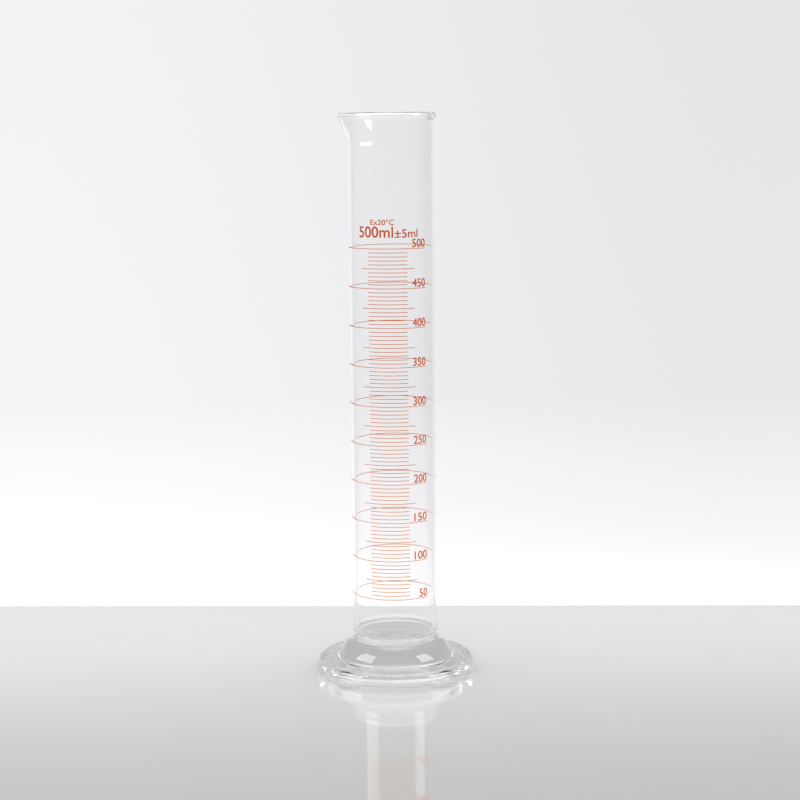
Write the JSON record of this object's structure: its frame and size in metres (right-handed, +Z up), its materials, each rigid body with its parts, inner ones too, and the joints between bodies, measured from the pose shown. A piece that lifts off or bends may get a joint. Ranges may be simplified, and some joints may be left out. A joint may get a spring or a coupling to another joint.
{
  "type": "graduated cylinder",
  "caption": "Tall clear glass measuring cylinder with a beaded rim, a pouring lip, a round fused foot and a red fired scale that reads in millilitres.",
  "frame": {"origin": "centre of the foot, on the plane that it stands on", "axes": "+Z up along the tube, -Y towards the middle of the scale, -X towards the pouring lip"},
  "size_m": [0.1024, 0.1024, 0.361],
  "materials": {
    "clear_glass": "clear, fire-polished",
    "red_enamel": "opaque fired enamel, satin"
  },
  "bodies": {
    "root": {"glass_cylinder": "clear_glass", "ring_lines": "red_enamel", "long_lines": "red_enamel", "short_lines": "red_enamel"}
  },
  "joints": []
}
